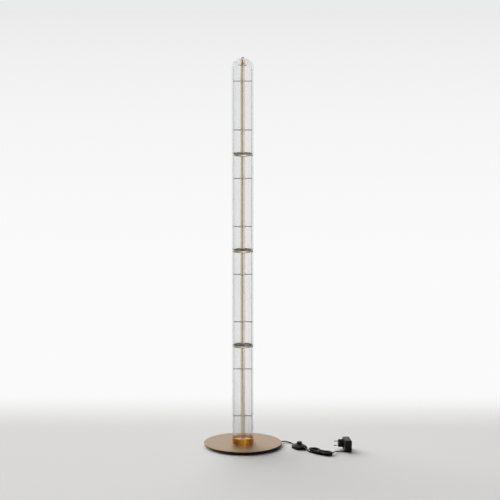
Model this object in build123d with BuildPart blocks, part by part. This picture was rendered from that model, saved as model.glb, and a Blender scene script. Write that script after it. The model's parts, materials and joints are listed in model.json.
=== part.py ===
"""Floor lamp: four ribbed glass modules stacked on a round base, with a foot switch and a wall adapter.

Millimetres, +Z up. The origin is the centre of the base's underside, on the floor.
"""

from build123d import *
import os
from math import cos, radians, sin, tan

os.makedirs("parts", exist_ok=True)

# Clearances
slip = 0.1           # between pieces pushed into each other by hand
loose = 0.3          # between curved faces that only lie near each other
rod_hole_gap = 0.15  # round the tie rod

# Base
cover_radius = 176.0
cover_thickness = 3.0
rim_break = 0.6
weight_setback = 24.0
weight_thickness = 10.0
pad_setback = 3.5
pad_thickness = 2.0
chamber_radius = 22.0
chamber_depth = 6.5
cover_screw_circle = 120.0
cover_screw_count = 4
cover_screw_radius = 2.5
cover_screw_head = 4.5
cover_screw_bite = 1.8
screw_recess = 5.0       # depth of the screw heads' pockets under the weight

# Brass collar
collar_radius = 49.5
collar_rim_height = 24.0
collar_seat_height = 18.0
collar_wall = 9.5
collar_roof = 6.0
collar_screw_count = 3
collar_screw_radius = 2.0
collar_screw_head = 3.6
collar_screw_bite = 8.0

# Glass
glass_radius = 47.5
glass_wall = 5.5
reed_count = 60
reed_depth = 0.25
module_pitch = 433.3
dome_straight = 378.0
gasket_thickness = 1.0
gasket_setback = 1.2

# Joint discs
disc_radius = 44.0
disc_thickness = 5.0
disc_edge_break = 0.8
disc_count = 3

# Stem, tie rod and wires
stem_radius = 9.0
stem_wall = 1.5
spigot_height = 5.0
rod_radius = 3.0
wire_bore = 5.6
wire_radius = 0.9
wire_circle = 4.3
wire_spread = 1.1
wire_bend = 1.9
nut_across = 10.0
nut_height = 4.0
washer_radius = 9.0
washer_thickness = 1.6
stem_headroom = 30.0   # from the top of the stem cap to the top of the dome
cap_flange_radius = 17.0
cap_flange = 1.5

# Light boards and opal rings
board_inner = 10.0
board_outer = 34.0
board_thickness = 1.6
lens_inner = 9.5
lens_outer = 36.0
lens_thickness = 2.2
top_lens_outer = 18.0
top_board_outer = 16.5

# Spreaders
spreader_share = 0.25   # of a module, from the joint above and the joint below
hub_radius = 13.0
hub_height = 9.0
arm_radius = 2.25
tip_radius = 3.4
tip_length = 4.2
tip_grip = 1.5
clamp_screw_radius = 1.5

# Dome top
cone_foot_radius = 7.5
cone_head_radius = 15.0
finial_recess_radius = 6.6
finial_recess_depth = 2.6
finial_head_radius = 6.0
finial_head_height = 3.0
finial_sleeve_radius = 4.0
finial_sleeve_length = 10.5
finial_washer_thickness = 0.5
thread_bite = 7.0

# Lead and gland
cord_radius = 2.75
lead_angle = 15.0
lead_height = 6.4
inner_lead_radius = 2.0
inner_lead_bend = 5.0
inner_lead_rise = 12.0   # how far from the axis the inner lead turns up
inner_lead_top = 18.0
gland_body_radius = 3.4
gland_body_length = 14.0
gland_flange_radius = 4.2
gland_flange = 2.0
gland_taper = 12.0

# Foot switch
switch_x = 255.0
switch_y = -51.0
switch_angle = -58.0
switch_length = 70.0
switch_width = 60.0
switch_corner = 25.0
switch_lift = 1.0
switch_split = 9.0
switch_top = 22.0
switch_wall = 2.2
switch_dome_radius = 45.0   # of the domed top, across the switch
switch_dome_fall = 7.0      # from the middle of the top to its ends
switch_floor_break = 2.0
button_radius = 11.5
button_gap = 0.35
button_top = 31.0
button_edge = 1.5
button_flange = 2.0
button_flange_height = 2.0
button_travel = 3.0
plunger_radius = 4.0
plunger_gap = 0.2        # left over the contact when the button is down
spring_radius = 7.0
spring_wire = 0.6
spring_turns = 3
spring_seat_gap = 0.1
switch_board_length = 40.0
switch_board_width = 36.0
switch_board_z = 5.0
contact_radius = 5.0
contact_height = 2.1
switch_post_radius = 3.5
switch_post_inset = 10.0
board_post_radius = 1.1
board_post_inset = 8.0
switch_screw_radius = 1.5
switch_screw_head = 2.8
switch_screw_length = 12.0
switch_foot_radius = 5.0
switch_foot_x = 22.0
switch_foot_y = 15.0
relief_neck_radius = 3.3
relief_root_radius = 4.2
relief_length = 12.0
relief_flange_radius = 4.0
relief_flange = 2.0

# Hank of spare cord
hank_x = 346.0
hank_y = -142.0
hank_angle = -44.0
hank_lift = 0.85         # room under the hank for its tie
hank_layer_step = 6.3
hank_half_turns = 4      # on each layer, before the spiral reverses
hank_left = 49.0         # from the waist to where the loops' left ends begin
hank_right = 38.0
hank_left_half = 21.0    # half width of the outer loop at the left ends
hank_waist_half = 19.5
hank_right_half = 23.5
hank_left_shift = 11.7   # the left ends lie off the hank's axis, away from the loose strand
hank_right_shift = 6.2
hank_turn_step = 3.1     # how much nearer to the middle each next run lies
hank_waist_step = 4.2
hank_start = (-40.7, -20.4)
hank_start_heading = -21.0
hank_exit_turn = 106.0
hank_exit_radius = 25.3
cord_stub = 5.5          # straight length at both ends of the hank's tube
lead_run = 31.5          # how far the cord leaves each piece it meets along that piece's way
link_run = 9.0
tail_run = 8.0
outlet_run = 10.0
tie_width = 7.0
tie_thickness = 0.7
tie_slack = 0.6
tie_head = 3.0

# Wall adapter
adapter_x = 469.6
adapter_y = -79.5
adapter_angle = 6.5
adapter_depth = 31.0
adapter_length = 84.0
adapter_height = 52.5
adapter_face = 3.0
adapter_wall = 2.6
adapter_edge = 6.5
adapter_back_edge = 6.0
boss_radius = 18.0
boss_length = 22.0
boss_wall = 2.5
boss_end = 4.0
boss_edge = 1.5
boss_offset = 23.0
pin_radius = 2.0
pin_length = 19.0
pin_pitch = 19.0
pin_tail = 6.0
pin_tip = 1.4
outlet_offset = -37.5
outlet_height = 4.2
outlet_neck_radius = 2.85
outlet_flange_radius = 3.7
outlet_flange = 1.5
outlet_taper = 12.0
adapter_board_length = 66.0
adapter_board_height = 42.0
adapter_board_shift = -3.0
adapter_board_x = 0.4
post_radius = 2.5
post_inset = 6.0
transformer_length = 24.0
transformer_height = 22.0
transformer_depth = 9.0
capacitor_radius = 5.0
capacitor_shift = 20.0

# Levels worked out from the sizes
weight_bottom = pad_thickness
cover_bottom = weight_bottom + weight_thickness
cover_top = cover_bottom + cover_thickness
chamber_top = weight_bottom + chamber_depth
weight_radius = cover_radius - weight_setback
pad_radius = weight_radius - pad_setback
collar_seat = cover_top + collar_seat_height
collar_top = cover_top + collar_rim_height
glass_bore = glass_radius - glass_wall
glass_length = module_pitch - disc_thickness - 2 * gasket_thickness
first_disc = collar_seat + 2 * gasket_thickness + glass_length + disc_thickness / 2
disc_levels = [first_disc + module_pitch * n for n in range(disc_count)]
dome_bottom = disc_levels[-1] + disc_thickness / 2 + gasket_thickness
shoulder = dome_bottom + dome_straight
dome_top = shoulder + glass_radius
stem_top = dome_top - stem_headroom
cap_bottom = stem_top - cap_flange
stem_bore = stem_radius - stem_wall
spigot_radius = stem_bore - slip
rod_bore = rod_radius + rod_hole_gap
seats = [collar_seat] + [level + disc_thickness / 2 for level in disc_levels]
ceilings = [level - disc_thickness / 2 for level in disc_levels] + [cap_bottom]

UP = (Align.CENTER, Align.CENTER, Align.MIN)
DOWN = (Align.CENTER, Align.CENTER, Align.MAX)


def save(made, name):
    """Name a finished piece and write it."""
    made.part.label = name
    export_step(made.part, f"parts/{name}.step")


def step(bottom, top, radius, bore=0.0):
    """Add a round step between two levels to the piece in hand, with its bore."""
    with Locations((0, 0, bottom)):
        Cylinder(radius, top - bottom, align=UP)
        if bore:
            Cylinder(bore, top - bottom, align=UP, mode=Mode.SUBTRACT)


def drill(bottom, top, radius):
    """Cut a round hole between two levels on the axis of the piece in hand."""
    with Locations((0, 0, bottom)):
        Cylinder(radius, top - bottom, align=UP, mode=Mode.SUBTRACT)


def corner_radii(route):
    """Give each corner of a cord's route the radius that its two runs allow."""
    radii = []
    for before, here, after in zip(route, route[1:], route[2:]):
        turn = (here - before).get_angle(after - here)
        shorter = min((here - before).length, (after - here).length)
        radii.append(0.45 * shorter / tan(radians(turn / 2)))
    return radii


def cord_tube(name, points):
    """Sweep one free stretch of the cord along its route, and print how it came out."""
    route = [Vector(*point) for point in points]
    radii = corner_radii(route)
    with BuildPart() as made:
        with BuildLine() as line:
            FilletPolyline(*route, radius=radii)
        with BuildSketch(Plane(origin=route[0], z_dir=route[1] - route[0])):
            Circle(cord_radius)
        sweep(path=line.wire())
    length = line.wire().length
    by_section = Face(Wire.make_circle(cord_radius)).area * length
    print(name, "length", round(length, 1), "radii", [round(radius, 1) for radius in radii])
    print(name, "volume", round(made.part.volume, 1), "section times length", round(by_section, 1))
    save(made, name)


# Base: cover, weight, pad and screws
lead_direction = Vector(cos(radians(lead_angle)), sin(radians(lead_angle)), 0)
lead_plane = Plane(origin=lead_direction * weight_radius + Vector(0, 0, lead_height), z_dir=lead_direction)
rise = (inner_lead_rise * lead_direction.X, inner_lead_rise * lead_direction.Y)
lead_hole = inner_lead_radius * 2
collar_screw_circle = collar_radius - collar_wall / 2
collar_screw_start = lead_angle + 180 / collar_screw_count
cover_screw_start = lead_angle + 180 / cover_screw_count

with BuildPart() as base_cover:
    step(cover_bottom, cover_top, cover_radius, rod_bore)
    fillet(base_cover.faces().sort_by(Axis.Z)[-1].edges().sort_by(SortBy.RADIUS)[-1], rim_break)
    with BuildSketch(Plane.XY.offset(cover_bottom)):
        with Locations(rise):
            Circle(lead_hole)
        with PolarLocations(collar_screw_circle, collar_screw_count, start_angle=collar_screw_start):
            Circle(collar_screw_radius + slip)
    extrude(amount=cover_thickness, mode=Mode.SUBTRACT)
    with BuildSketch(Plane.XY.offset(cover_bottom)):
        with PolarLocations(cover_screw_circle, cover_screw_count, start_angle=cover_screw_start):
            Circle(cover_screw_radius + slip)
    extrude(amount=cover_screw_bite + slip, mode=Mode.SUBTRACT)
save(base_cover, "base_cover")

with BuildPart() as base_weight:
    step(weight_bottom, cover_bottom, weight_radius)
    drill(weight_bottom, chamber_top, chamber_radius)
    drill(chamber_top, cover_bottom, rod_bore)
    with BuildSketch(Plane.XY.offset(weight_bottom)):
        with Locations(rise):
            Circle(lead_hole)
        with PolarLocations(collar_screw_circle, collar_screw_count, start_angle=collar_screw_start):
            Circle(collar_screw_radius + slip)
        with PolarLocations(cover_screw_circle, cover_screw_count, start_angle=cover_screw_start):
            Circle(cover_screw_radius + slip)
    extrude(amount=weight_thickness, mode=Mode.SUBTRACT)
    with BuildSketch(Plane.XY.offset(weight_bottom)):
        with PolarLocations(collar_screw_circle, collar_screw_count, start_angle=collar_screw_start):
            Circle(collar_screw_head + loose)
        with PolarLocations(cover_screw_circle, cover_screw_count, start_angle=cover_screw_start):
            Circle(cover_screw_head + loose)
    extrude(amount=screw_recess, mode=Mode.SUBTRACT)
    with BuildSketch(lead_plane):
        Circle(gland_body_radius + slip)
    extrude(amount=chamber_radius / 2 - weight_radius, mode=Mode.SUBTRACT)
save(base_weight, "base_weight")

with BuildPart() as base_pad:
    step(0, pad_thickness, pad_radius)
save(base_pad, "base_pad")


def screw_set(name, circle, count, start, radius, head, reach):
    """Write one node with the pan-head screws of a round pattern, driven from under the weight."""
    recess_top = Plane.XY.offset(weight_bottom + screw_recess)
    with BuildPart() as made:
        with BuildSketch(recess_top):
            with PolarLocations(circle, count, start_angle=start):
                Circle(head)
        extrude(amount=slip - screw_recess)
        with BuildSketch(recess_top):
            with PolarLocations(circle, count, start_angle=start):
                Circle(radius)
        extrude(amount=reach - screw_recess)
    save(made, name)


cover_screw_reach = weight_thickness + cover_screw_bite
collar_screw_reach = weight_thickness + cover_thickness + collar_screw_bite
screw_set("base_screws", cover_screw_circle, cover_screw_count, cover_screw_start,
          cover_screw_radius, cover_screw_head, cover_screw_reach)
screw_set("collar_screws", collar_screw_circle, collar_screw_count, collar_screw_start,
          collar_screw_radius, collar_screw_head, collar_screw_reach)

# Collar: an upturned cup whose top face carries the glass and the stem
with BuildPart() as column_collar:
    step(cover_top, collar_top, collar_radius)
    drill(collar_seat, collar_top, glass_radius + loose)
    step(collar_seat, collar_seat + spigot_height, spigot_radius)
    drill(cover_top, collar_seat + spigot_height, wire_bore)
    drill(cover_top, collar_seat - collar_roof, collar_radius - collar_wall)
    rim = column_collar.edges().filter_by(GeomType.CIRCLE).group_by(Axis.Z)[-1]
    fillet(rim, (collar_radius - glass_radius - loose) / 3)
    with BuildSketch(Plane.XY.offset(cover_top)):
        with PolarLocations(collar_screw_circle, collar_screw_count, start_angle=collar_screw_start):
            Circle(collar_screw_radius + slip)
    extrude(amount=collar_screw_bite + slip, mode=Mode.SUBTRACT)
save(column_collar, "column_collar")

# Tie rod with its foot nut and washer
finial_floor = dome_top - finial_recess_depth
finial_seat = finial_floor + finial_washer_thickness
finial_foot = finial_seat - finial_sleeve_length
rod_end = finial_foot + thread_bite
washer_bottom = chamber_top - washer_thickness
with BuildPart() as tie_rod:
    step(weight_bottom + slip, rod_end, rod_radius)
save(tie_rod, "tie_rod")

with BuildPart() as rod_nut:
    step(washer_bottom, chamber_top, washer_radius, rod_bore)
    with BuildSketch(Plane.XY.offset(washer_bottom)):
        RegularPolygon(nut_across / 2, 6, major_radius=False)
        Circle(rod_bore, mode=Mode.SUBTRACT)
    extrude(amount=-nut_height)
save(rod_nut, "rod_nut")

# Stem sections between the seats, and the cap on the last one
for number, (seat, ceiling) in enumerate(zip(seats, ceilings), 1):
    with BuildPart() as stem:
        step(seat, ceiling, stem_radius, stem_bore)
    save(stem, f"stem_{number}")

with BuildPart() as stem_cap:
    step(cap_bottom, stem_top, cap_flange_radius)
    step(cap_bottom - spigot_height, cap_bottom, spigot_radius)
    drill(cap_bottom - spigot_height, cap_bottom, wire_bore)
    drill(cap_bottom, stem_top, rod_bore)
save(stem_cap, "stem_cap")

# Joint discs
for number, level in enumerate(disc_levels, 1):
    with BuildPart() as disc:
        step(level - disc_thickness / 2, level + disc_thickness / 2, disc_radius)
        chamfer(disc.edges().filter_by(GeomType.CIRCLE), disc_edge_break)
        spigot_reach = disc_thickness / 2 + spigot_height
        step(level - spigot_reach, level + spigot_reach, spigot_radius)
        drill(level - spigot_reach, level + spigot_reach, wire_bore)
    save(disc, f"joint_disc_{number}")

# Light boards and opal rings hang under the ceiling of each module
for number, ceiling in enumerate(ceilings, 1):
    at_top = number == len(ceilings)
    with BuildPart() as light_board:
        step(ceiling - board_thickness, ceiling, top_board_outer if at_top else board_outer, board_inner)
    save(light_board, f"light_board_{number}")
    lens_top = ceiling - board_thickness
    with BuildPart() as opal_ring:
        step(lens_top - lens_thickness, lens_top, top_lens_outer if at_top else lens_outer, lens_inner)
    save(opal_ring, f"opal_ring_{number}")


# Ribbed glass
def reeded_outline():
    """Draw the ribbed outside of the glass: one arc for each reed."""
    valley = glass_radius - reed_depth
    for reed in range(reed_count):
        start, middle, end = [360 / reed_count * (reed + share) for share in (0, 0.5, 1)]
        ThreePointArc(
            Vector(valley, 0).rotate(Axis.Z, start),
            Vector(glass_radius, 0).rotate(Axis.Z, middle),
            Vector(valley, 0).rotate(Axis.Z, end),
        )


for number, seat in enumerate(seats[:-1], 1):
    with BuildPart() as glass_tube:
        with BuildSketch(Plane.XY.offset(seat + gasket_thickness)):
            with BuildLine():
                reeded_outline()
            make_face()
            Circle(glass_bore, mode=Mode.SUBTRACT)
        extrude(amount=glass_length)
    save(glass_tube, f"glass_tube_{number}")

with BuildPart() as glass_dome:
    with BuildSketch(Plane.XY.offset(dome_bottom)):
        with BuildLine():
            reeded_outline()
        make_face()
    extrude(amount=dome_top - dome_bottom)
    with BuildSketch(Plane.XZ):
        with BuildLine():
            Polyline((0, shoulder), (0, dome_bottom), (glass_radius, dome_bottom), (glass_radius, shoulder))
            RadiusArc((glass_radius, shoulder), (0, dome_top), -glass_radius)
            Line((0, dome_top), (0, shoulder))
        make_face()
    revolve(axis=Axis.Z, mode=Mode.INTERSECT)
    with BuildSketch(Plane.XZ):
        with BuildLine():
            Polyline((0, shoulder), (0, dome_bottom), (glass_bore, dome_bottom), (glass_bore, shoulder))
            RadiusArc((glass_bore, shoulder), (0, shoulder + glass_bore), -glass_bore)
            Line((0, shoulder + glass_bore), (0, shoulder))
        make_face()
    revolve(axis=Axis.Z, mode=Mode.SUBTRACT)
    drill(shoulder, dome_top, finial_sleeve_radius + loose)
    drill(finial_floor, dome_top, finial_recess_radius)
save(glass_dome, "glass_dome")

# Gaskets under and over each glass
gasket_outer = glass_radius - reed_depth - gasket_setback / 2
gasket_inner = glass_bore + gasket_setback / 2
gasket_levels = list(seats) + [ceiling - gasket_thickness for ceiling in ceilings[:-1]]
with BuildPart() as glass_gaskets:
    for level in gasket_levels:
        step(level, level + gasket_thickness, gasket_outer, gasket_inner)
save(glass_gaskets, "glass_gaskets")

# Spreaders: a clamped hub with two arms, at the quarter points of each module
quarter = module_pitch * spreader_share
joints = [disc_levels[0] - module_pitch] + disc_levels
arm_reach = glass_bore - loose - tip_length + tip_grip
tip_end = glass_bore - loose
spreader_levels = []
for number, joint in enumerate(joints, 1):
    pair = (joint + quarter, joint + module_pitch - quarter)
    spreader_levels.extend(pair)
    with BuildPart() as spreaders:
        for level in pair:
            with Locations((0, 0, level)):
                Cylinder(arm_radius, 2 * arm_reach, rotation=(0, 90, 0))
                Cylinder(hub_radius, hub_height)
                Cylinder(stem_radius + slip / 2, hub_height, mode=Mode.SUBTRACT)
            with Locations((0, stem_radius + slip / 2, level)):
                screw_hole = clamp_screw_radius + slip / 2
                Cylinder(screw_hole, hub_radius, rotation=(90, 0, 0), align=DOWN, mode=Mode.SUBTRACT)
    save(spreaders, f"spreaders_{number}")

with BuildPart() as spreader_tips:
    for level in spreader_levels:
        for side in (-1, 1):
            with Locations(Location((side * tip_end, 0, level), (0, -90 * side, 0))):
                Cylinder(tip_radius, tip_length, align=UP)
            with Locations(Location((side * arm_reach, 0, level), (0, -90 * side, 0))):
                Cylinder(arm_radius + slip / 2, tip_grip, align=UP, mode=Mode.SUBTRACT)
save(spreader_tips, "spreader_tips")

with BuildPart() as spreader_screws:
    for level in spreader_levels:
        with Locations(Location((0, stem_radius + slip, level), (-90, 0, 0))):
            Cylinder(clamp_screw_radius, hub_radius - stem_radius, align=UP)
save(spreader_screws, "spreader_screws")

# Dome top: soft cone on the stem cap, finial nut and its washer
with BuildPart() as dome_cone:
    with BuildSketch(Plane.XZ):
        with BuildLine():
            cone_ball = glass_bore - slip
            cone_edge = shoulder + (cone_ball**2 - cone_head_radius**2) ** 0.5
            Polyline((0, stem_top), (cone_foot_radius, stem_top), (cone_head_radius, cone_edge))
            RadiusArc((cone_head_radius, cone_edge), (0, shoulder + cone_ball), -cone_ball)
            Line((0, shoulder + cone_ball), (0, stem_top))
        make_face()
    revolve(axis=Axis.Z)
    drill(stem_top, dome_top, rod_bore)
    drill(finial_foot - slip, dome_top, finial_sleeve_radius + slip)
save(dome_cone, "dome_cone")

with BuildPart() as finial_washer:
    step(finial_floor, finial_seat, finial_head_radius, finial_sleeve_radius + slip)
save(finial_washer, "finial_washer")

with BuildPart() as finial_nut:
    step(finial_seat, finial_seat + finial_head_height, finial_head_radius)
    fillet(finial_nut.faces().sort_by(Axis.Z)[-1].edges(), finial_head_height / 2)
    step(finial_foot, finial_seat, finial_sleeve_radius)
    drill(finial_foot, rod_end, rod_radius + slip / 2)
save(finial_nut, "finial_nut")

# Gland, inner lead and stem wires
with BuildPart() as cable_gland:
    with BuildSketch(lead_plane):
        Circle(gland_body_radius)
    extrude(amount=-gland_body_length)
    with BuildSketch(lead_plane):
        Circle(gland_flange_radius)
    extrude(amount=gland_flange)
    with BuildSketch(lead_plane.offset(gland_flange)):
        Circle(gland_body_radius)
    with BuildSketch(lead_plane.offset(gland_flange + gland_taper)):
        Circle(cord_radius + slip)
    loft()
save(cable_gland, "cable_gland")

inner_start = lead_plane.offset(-gland_body_length).origin
inner_corner = Vector(*rise, lead_height)
inner_end = Vector(*rise, inner_lead_top)
with BuildPart() as inner_lead:
    with BuildLine() as inner_route:
        FilletPolyline(inner_start, inner_corner, inner_end, radius=inner_lead_bend)
    with BuildSketch(Plane(origin=inner_start, z_dir=inner_corner - inner_start)):
        Circle(inner_lead_radius)
    sweep(path=inner_route.wire())
save(inner_lead, "inner_lead")

wire_turn = inner_lead_top + 2 * wire_bend
with BuildPart() as stem_wires:
    for side in (-1, 1):
        across = Vector(-lead_direction.Y, lead_direction.X, 0) * side * wire_spread
        outside = Vector(*rise, 0) + across
        inside = lead_direction * wire_circle + across
        foot = outside + Vector(0, 0, inner_lead_top)
        with BuildLine() as wire_route:
            FilletPolyline(
                foot,
                outside + Vector(0, 0, wire_turn),
                inside + Vector(0, 0, wire_turn),
                inside + Vector(0, 0, cap_bottom - slip),
                radius=wire_bend,
            )
        with BuildSketch(Plane(origin=foot, z_dir=(0, 0, 1))):
            Circle(wire_radius)
        sweep(path=wire_route.wire())
save(stem_wires, "stem_wires")

# Foot switch
switch_plane = Plane(
    origin=(switch_x, switch_y, 0),
    x_dir=(cos(radians(switch_angle)), sin(radians(switch_angle)), 0),
    z_dir=(0, 0, 1),
)
switch_half = switch_length / 2
switch_roof = switch_top - switch_wall
switch_floor = switch_lift + switch_wall
post_x = switch_half - switch_post_inset
cover_screw_room = switch_lift + switch_screw_length - switch_split + slip
board_top = switch_board_z + board_thickness


def switch_block(bottom, top, inset, domed=False):
    """Make a block with the switch's outline, drawn in by an inset, with a domed top if asked."""
    with BuildPart() as made:
        with BuildSketch(Plane.XY.offset(bottom)):
            RectangleRounded(switch_length - 2 * inset, switch_width - 2 * inset, switch_corner - inset)
        extrude(amount=top - bottom)
        if domed:
            dome_axis = Axis((0, 0, top - switch_dome_radius + inset), (1, 0, 0))
            end_top = top - switch_dome_fall
            with BuildSketch(Plane.XZ):
                with BuildLine():
                    crest = ThreePointArc((-switch_half, end_top), (0, top), (switch_half, end_top))
                    below = dome_axis.position.Z
                    Polyline(crest @ 1, (switch_half, below), (-switch_half, below), crest @ 0)
                make_face()
            revolve(axis=dome_axis, mode=Mode.INTERSECT)
    return made.part


def relief_holes():
    """Cut the holes of both strain reliefs through the end walls of the shell in hand."""
    for side in (-1, 1):
        with Locations(Location((side * switch_half, 0, switch_split), (0, 90, 0))):
            Cylinder(relief_neck_radius + slip, 2 * (switch_wall + slip), mode=Mode.SUBTRACT)


with BuildPart(switch_plane) as switch_base:
    add(switch_block(switch_lift, switch_split, 0))
    fillet(switch_base.faces().sort_by(Axis.Z)[0].edges(), switch_floor_break)
    add(switch_block(switch_floor, switch_split, switch_wall), mode=Mode.SUBTRACT)
    with Locations((-post_x, 0, switch_lift), (post_x, 0, switch_lift)):
        Cylinder(switch_post_radius, switch_split - switch_lift, align=UP)
        Cylinder(switch_screw_radius + slip, switch_split - switch_lift, align=UP, mode=Mode.SUBTRACT)
        Cylinder(switch_screw_head + slip, switch_screw_radius, align=UP, mode=Mode.SUBTRACT)
    with Locations((0, 0, switch_floor)):
        post_grid = (switch_board_length - board_post_inset, switch_board_width - board_post_inset)
        with GridLocations(*post_grid, 2, 2):
            Cylinder(board_post_radius, switch_board_z - switch_floor, align=UP)
    relief_holes()
save(switch_base, "switch_base")

with BuildPart() as cover_posts:
    with Locations((-post_x, 0, switch_split), (post_x, 0, switch_split)):
        Cylinder(switch_post_radius, switch_top - switch_split, align=UP)
    add(switch_block(switch_split, switch_top - switch_wall / 2, switch_wall / 2, domed=True), mode=Mode.INTERSECT)

with BuildPart(switch_plane) as switch_cover:
    add(switch_block(switch_split, switch_top, 0, domed=True))
    add(switch_block(switch_split, switch_roof, switch_wall, domed=True), mode=Mode.SUBTRACT)
    add(cover_posts.part)
    with Locations((-post_x, 0, switch_split), (post_x, 0, switch_split)):
        Cylinder(switch_screw_radius + slip, cover_screw_room, align=UP, mode=Mode.SUBTRACT)
    with Locations((0, 0, switch_split)):
        Cylinder(button_radius + button_gap, switch_top, align=UP, mode=Mode.SUBTRACT)
    relief_holes()
save(switch_cover, "switch_cover")

flange_reach = button_radius + button_flange
inner_dome = switch_dome_radius - switch_wall
flange_top = switch_roof - inner_dome + (inner_dome**2 - flange_reach**2) ** 0.5 - loose
flange_bottom = flange_top - button_flange_height
plunger_bottom = board_top + contact_height + plunger_gap + button_travel
with BuildPart(switch_plane) as foot_button:
    step(flange_top, button_top, button_radius)
    fillet(foot_button.faces().sort_by(Axis.Z)[-1].edges(), button_edge)
    step(flange_bottom, flange_top, flange_reach)
    step(plunger_bottom, flange_bottom, plunger_radius)
save(foot_button, "foot_button")

spring_bottom = board_top + spring_wire + spring_seat_gap
spring_height = flange_bottom - spring_wire - spring_seat_gap - spring_bottom
with BuildPart() as button_spring:
    with BuildLine() as coil:
        spring_foot = (switch_x, switch_y, spring_bottom)
        Helix(spring_height / spring_turns, spring_height, spring_radius, center=spring_foot)
    with BuildSketch(Plane(origin=coil.wire() @ 0, z_dir=coil.wire() % 0)):
        Circle(spring_wire)
    sweep(path=coil.wire(), is_frenet=True)
save(button_spring, "button_spring")

with BuildPart(switch_plane) as switch_board:
    with BuildSketch(switch_plane.offset(switch_board_z)):
        Rectangle(switch_board_length, switch_board_width)
    extrude(amount=board_thickness)
    with Locations((0, 0, board_top)):
        Cylinder(contact_radius, contact_height, align=UP)
    with Locations((switch_board_length / 3, 0, board_top), (-switch_board_length / 3, 0, board_top)):
        Box(contact_radius, switch_board_width / 2, contact_height, align=UP)
save(switch_board, "switch_board")

with BuildPart(switch_plane) as switch_screws:
    with Locations((-post_x, 0, switch_lift), (post_x, 0, switch_lift)):
        Cylinder(switch_screw_radius, switch_screw_length, align=UP)
        Cylinder(switch_screw_head, switch_screw_radius, align=UP)
save(switch_screws, "switch_screws")

with BuildPart(switch_plane) as switch_feet:
    with GridLocations(2 * switch_foot_x, 2 * switch_foot_y, 2, 2):
        Cylinder(switch_foot_radius, switch_lift, align=UP)
save(switch_feet, "switch_feet")

relief_tips = {}
for name, side in (("switch_relief_in", -1), ("switch_relief_out", 1)):
    outward = switch_plane.x_dir * side
    wall_face = switch_plane.origin + outward * switch_half + Vector(0, 0, switch_split)
    relief_plane = Plane(origin=wall_face, z_dir=outward)
    with BuildPart() as relief:
        with BuildSketch(relief_plane):
            Circle(relief_neck_radius)
        extrude(amount=-switch_wall - relief_flange)
        with BuildSketch(relief_plane.offset(-switch_wall - slip)):
            Circle(relief_flange_radius)
        extrude(amount=-relief_flange)
        with BuildSketch(relief_plane):
            Circle(relief_root_radius)
        with BuildSketch(relief_plane.offset(relief_length)):
            Circle(cord_radius + slip)
        loft()
    relief_tips[name] = relief_plane.offset(relief_length).origin
    save(relief, name)

# Wall adapter, standing on a long side
adapter_plane = Plane(
    origin=(adapter_x, adapter_y, 0),
    x_dir=(cos(radians(adapter_angle)), sin(radians(adapter_angle)), 0),
    z_dir=(0, 0, 1),
)
adapter_axis = Axis(adapter_plane.origin, adapter_plane.x_dir)
half_depth = adapter_depth / 2
half_height = adapter_height / 2
case_depth = adapter_depth - adapter_face
room_length = adapter_length - 2 * adapter_wall
room_height = adapter_height - 2 * adapter_wall
case_post_grid = (adapter_board_length - 2 * post_inset, adapter_board_height - 2 * post_inset)
# Looking along the adapter's depth: x runs along its length, y up
end_plane = Plane(origin=adapter_plane.origin, x_dir=adapter_plane.y_dir, z_dir=adapter_plane.x_dir)
face_back = end_plane.offset(adapter_face - half_depth)
outlet = (outlet_offset, outlet_height)
boss_spot = (boss_offset, half_height)

with BuildPart() as adapter_case:
    with BuildSketch(face_back):
        with Locations((0, half_height)):
            RectangleRounded(adapter_length, adapter_height, adapter_edge)
    extrude(amount=case_depth)
    fillet(adapter_case.faces().sort_by(adapter_axis)[-1].edges(), adapter_back_edge)
    with BuildSketch(face_back):
        with Locations((0, half_height)):
            RectangleRounded(room_length, room_height, adapter_edge - adapter_wall)
    extrude(amount=case_depth - adapter_wall, mode=Mode.SUBTRACT)
    with BuildSketch(end_plane.offset(adapter_board_x + board_thickness)):
        with Locations((adapter_board_shift, half_height)):
            with GridLocations(*case_post_grid, 2, 2):
                Circle(post_radius)
    extrude(amount=half_depth - adapter_board_x - board_thickness - adapter_wall / 2)
save(adapter_case, "adapter_case")

with BuildPart() as adapter_front:
    with BuildSketch(face_back):
        with Locations((0, half_height)):
            RectangleRounded(adapter_length, adapter_height, adapter_edge)
    extrude(amount=-adapter_face)
    with BuildSketch(end_plane.offset(-half_depth)):
        with Locations(boss_spot):
            Circle(boss_radius)
    extrude(amount=-boss_length)
    fillet(adapter_front.faces().sort_by(adapter_axis)[0].edges(), boss_edge)
    with BuildSketch(face_back):
        with Locations(boss_spot):
            Circle(boss_radius - boss_wall)
    extrude(amount=-adapter_face - boss_length + boss_end, mode=Mode.SUBTRACT)
    with BuildSketch(end_plane.offset(-half_depth - boss_length)):
        with Locations(boss_spot):
            with GridLocations(1, pin_pitch, 1, 2):
                Circle(pin_radius + slip / 2)
    extrude(amount=boss_end, mode=Mode.SUBTRACT)
    with BuildSketch(face_back):
        with Locations(outlet):
            Circle(outlet_neck_radius + slip)
    extrude(amount=-adapter_face, mode=Mode.SUBTRACT)
save(adapter_front, "adapter_front")

with BuildPart() as plug_pins:
    with BuildSketch(end_plane.offset(pin_tail - half_depth - boss_length)):
        with Locations(boss_spot):
            with GridLocations(1, pin_pitch, 1, 2):
                Circle(pin_radius)
    extrude(amount=-pin_tail - pin_length)
    tips = plug_pins.faces().filter_by(GeomType.PLANE).group_by(adapter_axis)[0]
    fillet(tips.edges(), pin_tip)
save(plug_pins, "plug_pins")

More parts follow.
